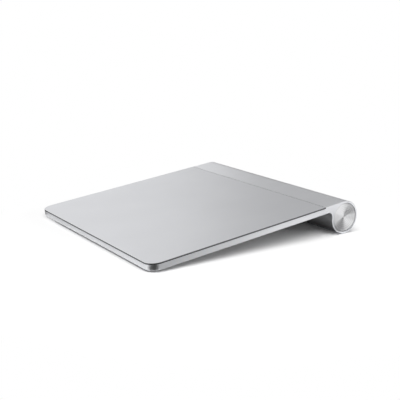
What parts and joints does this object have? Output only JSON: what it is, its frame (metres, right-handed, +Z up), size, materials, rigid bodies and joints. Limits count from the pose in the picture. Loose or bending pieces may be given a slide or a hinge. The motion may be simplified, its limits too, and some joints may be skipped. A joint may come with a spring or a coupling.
{
  "type": "wireless trackpad",
  "caption": "Thin wedge-shaped wireless trackpad: satin touch glass on an aluminium shell with a round cell tube along its back edge, click feet, power button and coin-slot battery cap.",
  "frame": {"origin": "centre of the footprint, on the table", "axes": "+X to the user's right, +Y to the back where the cell tube is, +Z up from the table"},
  "size_m": [0.1314, 0.13, 0.0183],
  "materials": {
    "shell_aluminium": "satin",
    "silver_glass": "satin",
    "black_tape": "matte",
    "circuit_board": "satin",
    "sheet_steel": "satin",
    "amber_film": "satin",
    "cover_plastic": "matte",
    "chip_black": "matte",
    "white_ceramic": "matte",
    "tinned_parts": "satin",
    "led_white": "gloss",
    "black_plastic": "matte",
    "white_plastic": "matte",
    "foot_rubber": "matte",
    "seal_rubber": "matte",
    "cell_case": "satin",
    "contact_brass": "satin",
    "turned_aluminium": "satin"
  },
  "bodies": {
    "pad": {"body_shell": "shell_aluminium", "glass_plate": "silver_glass", "glass_tape": "black_tape", "touch_sensor": "circuit_board", "sensor_stiffener": "sheet_steel", "sensor_ribbon": "amber_film", "bottom_cover": "cover_plastic", "cover_seal": "black_tape", "board_tape": "black_tape", "logic_board": "circuit_board", "radio_chip": "chip_black", "touch_controller": "chip_black", "chip_antenna": "white_ceramic", "board_components": "tinned_parts", "status_led": "led_white", "switch_flex": "amber_film", "click_switch_left": "sheet_steel", "click_switch_right": "sheet_steel", "rear_foot_left": "foot_rubber", "rear_foot_right": "foot_rubber", "tube_liner": "black_plastic", "positive_contact": "contact_brass", "contact_bulkhead": "black_plastic", "button_board": "circuit_board", "button_switch": "black_plastic", "button_housing": "black_plastic", "tube_flex": "amber_film"},
    "left_foot": {"click_foot_left": "foot_rubber", "foot_carrier_left": "black_plastic"},
    "right_foot": {"click_foot_right": "foot_rubber", "foot_carrier_right": "black_plastic"},
    "button": {"power_button": "turned_aluminium", "button_stem": "white_plastic"},
    "cell_pair": {"battery_left": "cell_case", "battery_right": "cell_case"},
    "spring_contact": {"cap_contact": "sheet_steel", "cap_spring": "sheet_steel"},
    "screw_cap": {"battery_cap": "turned_aluminium", "cap_o_ring": "seal_rubber"}
  },
  "joints": [
    {"name": "left_click", "type": "slide", "parent": "pad", "child": "left_foot", "axis": [0, -0.1128, 0.9936], "range_m": [0, 0.00035], "stiffness_N_per_m": 1500, "springref_m": -0.0002},
    {"name": "right_click", "type": "slide", "parent": "pad", "child": "right_foot", "axis": [0, -0.1128, 0.9936], "range_m": [0, 0.00035], "stiffness_N_per_m": 1500, "springref_m": -0.0002},
    {"name": "power_press", "type": "slide", "parent": "pad", "child": "button", "axis": [-1, 0, 0], "range_m": [0, 0.0005], "stiffness_N_per_m": 3000, "springref_m": -0.0002},
    {"name": "cells_out", "type": "slide", "parent": "pad", "child": "cell_pair", "axis": [-1, 0, 0], "range_m": [0, 0.118]},
    {"name": "cap_back_off", "type": "slide", "parent": "cell_pair", "child": "spring_contact", "axis": [-1, 0, 0], "range_m": [0, 0.0045]},
    {"name": "cap_turn", "type": "hinge", "parent": "spring_contact", "child": "screw_cap", "pos_m": [-0.0654, 0.056, 0.0093], "axis": [-1, 0, 0], "range_deg": [0, 1080]}
  ],
  "couplings": [
    {"joint": "cap_back_off", "follows": "cap_turn", "m_per_rad": 0.00023873}
  ]
}
